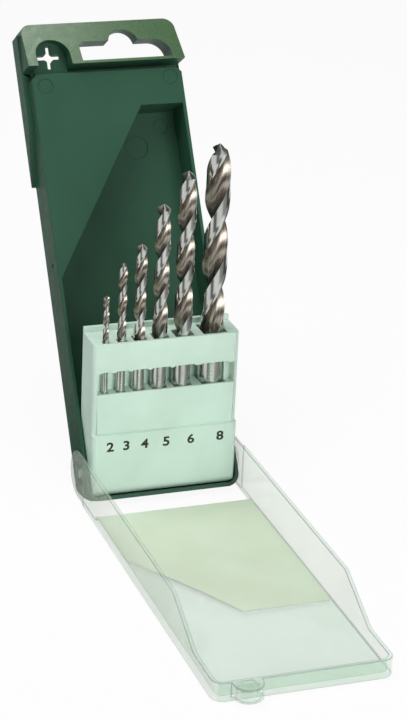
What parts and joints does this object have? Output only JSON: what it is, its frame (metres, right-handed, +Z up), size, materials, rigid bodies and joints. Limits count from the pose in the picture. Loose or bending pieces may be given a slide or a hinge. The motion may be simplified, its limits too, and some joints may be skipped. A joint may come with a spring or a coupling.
{
  "type": "drill bit case",
  "caption": "Pocket case for twist drills: clear hinged lid with a latch cup, green shell with a hanging header, and a pale drill holder that swings up as the case is opened.",
  "frame": {"origin": "under the middle of the open case's bounding box, on the surface that the lid lies on", "axes": "+X across the case, -Y towards the front where the lid lies, +Z up"},
  "size_m": [0.055, 0.2256, 0.1358],
  "materials": {
    "clear_plastic": "clear, polished, faintly green",
    "green_plastic": "moulded, satin, finely textured header",
    "mint_plastic": "moulded, satin",
    "drill_steel": "ground",
    "card": "uncoated card"
  },
  "bodies": {
    "lid": {"lid": "clear_plastic", "card": "card"},
    "shell": {"shell": "green_plastic"},
    "holder": {"holder": "mint_plastic"},
    "drill_2_bit": {"drill_2": "drill_steel"},
    "drill_3_bit": {"drill_3": "drill_steel"},
    "drill_4_bit": {"drill_4": "drill_steel"},
    "drill_5_bit": {"drill_5": "drill_steel"},
    "drill_6_bit": {"drill_6": "drill_steel"},
    "drill_8_bit": {"drill_8": "drill_steel"}
  },
  "joints": [
    {"name": "shell_hinge", "type": "hinge", "parent": "lid", "child": "shell", "pos_m": [0, 0.0268, 0.00775], "axis": [-1, 0, 0], "range_deg": [-121.85, 0]},
    {"name": "holder_hinge", "type": "hinge", "parent": "lid", "child": "holder", "pos_m": [0, 0.0268, 0.00775], "axis": [-1, 0, 0], "range_deg": [-90, 0]},
    {"name": "drill_2_lift", "type": "slide", "parent": "holder", "child": "drill_2_bit", "axis": [0, 0, 1], "range_m": [0, 0.0353]},
    {"name": "drill_3_lift", "type": "slide", "parent": "holder", "child": "drill_3_bit", "axis": [0, 0, 1], "range_m": [0, 0.0369]},
    {"name": "drill_4_lift", "type": "slide", "parent": "holder", "child": "drill_4_bit", "axis": [0, 0, 1], "range_m": [0, 0.0453]},
    {"name": "drill_5_lift", "type": "slide", "parent": "holder", "child": "drill_5_bit", "axis": [0, 0, 1], "range_m": [0, 0.0438]},
    {"name": "drill_6_lift", "type": "slide", "parent": "holder", "child": "drill_6_bit", "axis": [0, 0, 1], "range_m": [0, 0.0407]},
    {"name": "drill_8_lift", "type": "slide", "parent": "holder", "child": "drill_8_bit", "axis": [0, 0, 1], "range_m": [0, 0.0517]}
  ],
  "couplings": [
    {"joint": "holder_hinge", "follows": "shell_hinge", "ratio": 0.73861}
  ]
}
